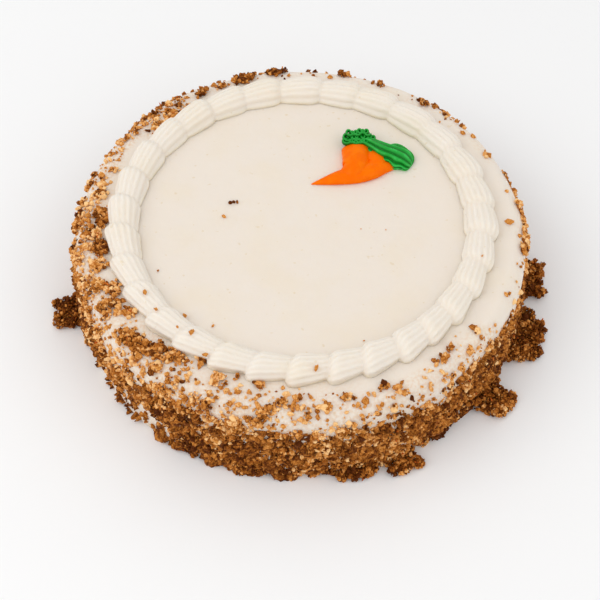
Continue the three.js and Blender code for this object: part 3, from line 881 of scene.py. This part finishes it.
def make_stray_crumbs(settings, material):
    """The few single crumbs on the open icing and on the shells."""
    rng = np.random.default_rng(settings.crumbs.seed + 1)
    border = settings.border
    spots, tones = np.array(STRAY_CRUMBS)[:, :3] * MM, np.array(STRAY_CRUMBS)[:, 3]
    away = np.hypot(spots[:, 0], spots[:, 1])
    across = np.clip(np.abs(away - border.radius) / border.half_width, 0, 1)
    lift = np.where(across < 1, 0.93 * border.height * np.sqrt(1 - across**2), 0)
    middle = np.array([PIPING_MIDDLE.x, PIPING_MIDDLE.y, ICING_TOP])
    points = np.column_stack([spots[:, :2], lift + 0.2 * spots[:, 2]]) + middle
    shapes, faces = crumb_shapes(rng, 6, 2, 0.5)
    scatter("stray_crumbs", rng, shapes, faces, points, spots[:, 2], tones, material)


# ---- The shell border ------------------------------------------------------------------------------


def groove(place, count):
    """How deep the groove is at a place from 0 to 1 across ribs, from 0 on a rib's crest to 1."""
    return (1 - abs(math.sin(math.pi * count * place))) ** 1.2


def ring_angle(border, place):
    """The angle of a place on the ring that is counted in shells."""
    angle = border.first_angle + math.tau * place / border.shells
    for waves, degrees, crest in SHELL_WANDER:
        angle += math.radians(degrees) * math.cos(math.tau * waves * (place - crest) / border.shells)
    return angle


def boldness(angle):
    """How boldly the shells are piped: in full at the front left, gently at the back right."""
    return 0.6 + 0.4 * math.cos(angle + math.radians(110))


def shell_envelope(t, bold):
    """The width and height of a shell at t, from the head to the tail, as shares of its largest."""
    crest, roundness = 0.28, 2.4
    rise = (1 - (1 - min(t / crest, 1)) ** roundness) ** (1 / roundness)
    fall = max((t - crest) / (1 - crest), 0)
    close = math.sqrt(max(1 - max((t - 0.80) / 0.20, 0) ** 2, 0))
    cushion = 1 - 0.2 * (1 - bold) ** 2 * (2.6 * t - 1) ** 2
    width = rise * (1 - 0.30 * bold * fall) * close * cushion
    height = rise * (1 - (0.1 + 0.24 * bold) * fall) * close * cushion**0.7
    return width, height


def add_shell(bm, border, shell, plump, lean):
    """One shell: it starts on the outer side, hooks round into the ring and is drawn out under the
    next head. Ribs fan out over it from the tail."""
    around, along = 72, 34
    over_arch = 0.86
    span, start = 1.36, -0.05
    shift = Vector((shell * 7, 0, 0))
    bold = boldness(ring_angle(border, shell))
    made = bmesh.ops.create_uvsphere(bm, u_segments=around, v_segments=along, radius=1)
    for vert in made["verts"]:
        t = (1 - vert.co.z) / 2
        u = (math.atan2(vert.co.y, vert.co.x) / math.tau) % 1
        roll = math.pi * (u / over_arch if u < over_arch else 1 + (u - over_arch) / (1 - over_arch))
        width, height = shell_envelope(t, bold)
        across = 0.3 * (1 - math.cos(roll)) / 2 + 0.7 * roll / math.pi
        faded = smooth_step(0.0, 0.10, t) * smooth_step(1.0, 0.8, t)
        arched = roll < math.pi
        depth = border.rib_depth * faded * groove(across + lean * (1 - t), border.ribs) * arched
        depth += 0.16 * MM * noise.noise(Vector((t * 4, roll * 2, 0)) + shift)
        reach = border.half_width * plump * width - depth
        lift = border.height * plump * height - depth
        forward = span * t + start
        hook = max(1 - t / 0.36, 0) ** 2
        out = border.sideways * bold * (0.25 - 0.7 * forward + 1.1 * hook) + reach * math.cos(roll)
        inner = smooth_step(0.5 * math.pi, 0.9 * math.pi, roll)
        wall = 0.14 * (1 - inner)
        up = lift * (wall + (1 - wall) * math.sin(roll) ** (0.8 + 0.5 * inner)) if arched else -0.35 * MM
        angle = ring_angle(border, shell + forward)
        radius = border.radius + out
        vert.co = (math.cos(angle) * radius, math.sin(angle) * radius, ICING_TOP + up)
        vert.co += PIPING_MIDDLE


def make_border(border, material):
    """The ring of shells as one body, with soft creases where a head was piped over a tail."""
    rng = np.random.default_rng(border.shells)
    whole = bmesh.new()
    for shell in range(border.shells):
        bm = bmesh.new()
        shift, plump, lean = rng.uniform((-0.05, 0.95, -0.05), (0.05, 1.05, 0.05))
        add_shell(bm, border, shell + shift, plump, lean)
        bmesh.ops.recalc_face_normals(bm, faces=bm.faces)
        whole.from_mesh(to_mesh("shell", bm))
    piece = add_piece("piped_shells", to_mesh("piped_shells", whole), material, "shell_border")
    joined = piece.modifiers.new("joined", "REMESH")
    joined.mode, joined.voxel_size, joined.use_smooth_shade = "VOXEL", border.grain, True
    softened = piece.modifiers.new("softened", "SMOOTH")
    softened.factor, softened.iterations = 0.5, border.softness


# ---- The piped carrot ------------------------------------------------------------------------------


def add_stroke(bm, stroke, around, along, rib_depth=0.0):
    """A stroke of piped icing: a closed, tapered form along its line, with ribs along it and a ruffled
    edge on one side. The depth of its grooves and the lower part of its flanks are kept for the finish
    as painted shade."""
    painted_shade_of = bm.verts.layers.float.get("crease") or bm.verts.layers.float.new("crease")
    line = [Vector((x, y, 0)) for x, y in stroke["line"]]
    ribs, ruffle, lift = stroke.get("ribs", 0), stroke.get("ruffle", 0), stroke.get("lift", 0)
    step = 0.4 / len(line)
    made = bmesh.ops.create_uvsphere(bm, u_segments=around, v_segments=along, radius=1)
    for vert in made["verts"]:
        t = (1 - vert.co.z) / 2
        roll = math.atan2(vert.co.y, vert.co.x)
        cap = math.sqrt(max(1 - abs(2 * t - 1) ** stroke.get("blunt", 5), 0))
        deep = groove(roll / math.pi, ribs) * min(cap * 1.3, 1) if ribs and roll > 0 else 0
        edge = max(math.cos(roll), 0) ** 2 * ruffle * math.sin(t * 21)
        half_width = (through(stroke["half_widths"], t) + edge) * cap
        height = through(stroke["heights"], t) * cap
        ahead = through(line, min(t + step, 1)) - through(line, max(t - step, 0))
        left_hand = Vector((-ahead.y, ahead.x, 0)).normalized()
        centre = through(line, t) - left_hand * math.cos(roll) * (half_width - rib_depth * deep)
        up = lift + height * (0.3 + 0.7 * math.sin(roll)) - rib_depth * deep
        vert.co = Vector((centre.x, centre.y, max(up, -0.4))) * MM + PIPING_MIDDLE
        vert.co.z += ICING_TOP
        # Painted shade: the grooves and the lower flanks are kept darker, the flanks as strongly as the
        # stroke's shade says.
        low = 1 - max(math.sin(roll), 0)
        vert[painted_shade_of] = max(deep, min(stroke.get("shade", 0) * low**0.6, 1))


def make_root(material):
    bm = bmesh.new()
    for stroke in CARROT_STROKES:
        add_stroke(bm, stroke, 48, 48)
    bmesh.ops.recalc_face_normals(bm, faces=bm.faces)
    add_piece("carrot_icing", to_mesh("carrot_icing", bm), material, "carrot_root")


def curl_stroke(curl):
    """The stroke of a thin rope in loops along a way."""
    wide, deep = curl["loop"]
    way = [Vector((x, y, 0)) for x, y in curl["way"]]
    count = CURL_LOOPS * 7
    line = []
    for i in range(count + 1):
        turn = math.tau * CURL_LOOPS * i / count
        centre = through(way, i / count)
        size = 1 + 0.3 * math.sin(0.37 * turn + 1)
        line.append((centre.x + wide * size * math.cos(turn), centre.y + deep * size * math.sin(turn)))
    sizes = {"half_widths": (ROPE_HALF_WIDTH,) * 3, "heights": (ROPE_HEIGHT,) * 3, "blunt": 40}
    return {"line": line, **sizes, "lift": curl["lift"], "shade": 1.1}


def make_leaves(material):
    bm = bmesh.new()
    for stroke in LEAF_STROKES:
        add_stroke(bm, stroke, 96, 60, rib_depth=1.5)
    add_stroke(bm, CURL_BASE, 40, 30)
    for curl in CURLS:
        add_stroke(bm, curl_stroke(curl), 12, 240)
    bmesh.ops.recalc_face_normals(bm, faces=bm.faces)
    add_piece("leaf_icing", to_mesh("leaf_icing", bm), material, "carrot_greens")


# ---- The stage -------------------------------------------------------------------------------------


def make_floor(stage):
    bm = bmesh.new()
    bmesh.ops.create_grid(bm, x_segments=8, y_segments=8, size=12)
    mesh = to_mesh("floor", bm)
    mesh.materials.append(floor_finish("pale_floor", stage.floor_colour[:]))
    floor = add_object("floor", mesh)


def make_light(name, place, size, power):
    """A round soft light that shines on the middle of the cake."""
    light = bpy.data.lights.new(name, "AREA")
    light.shape = "DISK"
    light.size = size
    light.energy = power
    lamp = add_object(name, light)
    lamp.location = place
    aim = Vector((0, 0, 0.03))
    lamp.rotation_euler = (aim - Vector(place)).to_track_quat("-Z", "Y").to_euler()


def make_camera():
    """A camera above the front, looking down at the middle of the piping."""
    view = Vector((0, -math.cos(CAMERA_ELEVATION), math.sin(CAMERA_ELEVATION)))
    data = bpy.data.cameras.new("camera")
    data.sensor_width = SENSOR_WIDTH
    data.lens = FOCAL_LENGTH / RENDER_WIDTH * SENSOR_WIDTH
    data.shift_x = (RENDER_WIDTH / 2 - VIEW_MIDDLE[0]) / RENDER_WIDTH
    data.shift_y = (VIEW_MIDDLE[1] - RENDER_WIDTH / 2) / RENDER_WIDTH
    camera = add_object("camera", data)
    camera.location = PIPING_MIDDLE + view * CAMERA_DISTANCE
    camera.rotation_euler = (-view).to_track_quat("-Z", "Y").to_euler()
    bpy.context.scene.camera = camera


def make_sky():
    scene = bpy.context.scene
    scene.world = bpy.data.worlds.new("studio")
    scene.world.use_nodes = True
    sky = scene.world.node_tree.nodes["Background"]
    sky.inputs["Color"].default_value = (1, 1, 1, 1)
    sky.inputs["Strength"].default_value = 0.82
    scene.view_settings.view_transform = "Standard"


# ---- Operators -------------------------------------------------------------------------------------


class CAKE_OT_spread_icing(bpy.types.Operator):
    """Spread the icing over the whole cake"""

    bl_idname = "cake.spread_icing"
    bl_label = "Spread icing"

    def execute(self, context):
        icing = context.scene.carrot_cake.icing
        make_icing(icing, icing_finish("spread_icing", icing.top_colour[:]))
        return {"FINISHED"}


class CAKE_OT_pipe_shells(bpy.types.Operator):
    """Pipe the ring of shells round the top"""

    bl_idname = "cake.pipe_shells"
    bl_label = "Pipe shells"

    def execute(self, context):
        settings = context.scene.carrot_cake
        finish = icing_finish("piped_icing", settings.icing.shell_colour[:], ICING_TOP)
        make_border(settings.border, finish)
        return {"FINISHED"}


class CAKE_OT_press_coat(bpy.types.Operator):
    """Press the coat of crumbs on the side"""

    bl_idname = "cake.press_coat"
    bl_label = "Press crumb coat"

    def execute(self, context):
        settings = context.scene.carrot_cake
        make_coat(settings, crumb_finish("pressed_crumb", crumb_tones(settings.crumbs)))
        return {"FINISHED"}


class CAKE_OT_scatter_crumbs(bpy.types.Operator):
    """Scatter the lumps and fine crumbs over the coat, and heap some at the foot"""

    bl_idname = "cake.scatter_crumbs"
    bl_label = "Scatter crumbs"

    def execute(self, context):
        settings = context.scene.carrot_cake
        crumbs = settings.crumbs
        tones = crumb_tones(crumbs)
        shreds = (shade(crumbs.carrot[:], 0.5), crumbs.carrot[:], crumbs.golden[:])
        finishes = {
            "crumbs": crumb_finish("cake_crumb", tones),
            "shaded_crumb_cores": crumb_finish("shaded_core_crumb", tones),
            "shreds": crumb_finish("carrot_shred", shreds),
        }
        make_crumbs(settings, finishes)
        make_stray_crumbs(settings, crumb_finish("stray_crumb", tones[:3]))
        return {"FINISHED"}


class CAKE_OT_pipe_carrot(bpy.types.Operator):
    """Pipe the orange carrot"""

    bl_idname = "cake.pipe_carrot"
    bl_label = "Pipe carrot"

    def execute(self, context):
        tone = context.scene.carrot_cake.carrot.root_colour[:]
        # The darker orange is the painted shade of grooves and lower flanks; the paler one gives random pale
        # patches and the painted highlight on crests.
        make_root(piped_finish("orange_icing", tone, (0.75, 0.06, 0.0), (0.98, 0.195, 0.0), gloss=0.05))
        return {"FINISHED"}


class CAKE_OT_pipe_leaves(bpy.types.Operator):
    """Pipe the carrot's green leaves"""

    bl_idname = "cake.pipe_leaves"
    bl_label = "Pipe leaves"

    def execute(self, context):
        carrot = context.scene.carrot_cake.carrot
        tone = carrot.leaf_colour[:]
        # The dark green is the painted shade of grooves and lower flanks; the pale green gives random pale
        # patches and the painted highlight on crests.
        make_leaves(piped_finish("green_icing", tone, (0.0, 0.12, 0.003), (0.03, 0.56, 0.09), gloss=0.3))
        return {"FINISHED"}


class CAKE_OT_set_stage(bpy.types.Operator):
    """Set up the floor, the lights and the camera"""

    bl_idname = "cake.set_stage"
    bl_label = "Set stage"

    def execute(self, context):
        stage = context.scene.carrot_cake.stage
        make_floor(stage)
        make_sky()
        make_camera()
        make_light("key", (-0.85, -0.3, 1.0), 1.2, stage.light_power)
        make_light("fill", (0.75, -0.5, 0.8), 1.0, stage.light_power * 0.32)
        return {"FINISHED"}


class CAKE_PT_cake(bpy.types.Panel):
    bl_idname = "CAKE_PT_cake"
    bl_label = "Carrot cake"
    bl_space_type = "VIEW_3D"
    bl_region_type = "UI"
    bl_category = "Cake"

    def draw(self, context):
        settings = context.scene.carrot_cake
        for group in (settings.icing, settings.border, settings.crumbs, settings.carrot, settings.stage):
            box = self.layout.box()
            for name in group.__annotations__:
                box.prop(group, name)
        for operator in STEPS:
            self.layout.operator(operator.bl_idname)


STEPS = (
    CAKE_OT_set_stage,
    CAKE_OT_spread_icing,
    CAKE_OT_pipe_shells,
    CAKE_OT_press_coat,
    CAKE_OT_scatter_crumbs,
    CAKE_OT_pipe_carrot,
    CAKE_OT_pipe_leaves,
)
GROUPS = (IcingSettings, BorderSettings, CrumbSettings, CarrotSettings, StageSettings, CakeSettings)
CLASSES = (*GROUPS, *STEPS, CAKE_PT_cake)


def register():
    for cls in CLASSES:
        bpy.utils.register_class(cls)
    bpy.types.Scene.carrot_cake = bpy.props.PointerProperty(type=CakeSettings)


def unregister():
    del bpy.types.Scene.carrot_cake
    for cls in reversed(CLASSES):
        bpy.utils.unregister_class(cls)


def main():
    register()
    bpy.ops.cake.set_stage()
    bpy.ops.cake.spread_icing()
    bpy.ops.cake.pipe_shells()
    bpy.ops.cake.press_coat()
    bpy.ops.cake.scatter_crumbs()
    bpy.ops.cake.pipe_carrot()
    bpy.ops.cake.pipe_leaves()


if __name__ == "__main__":
    main()
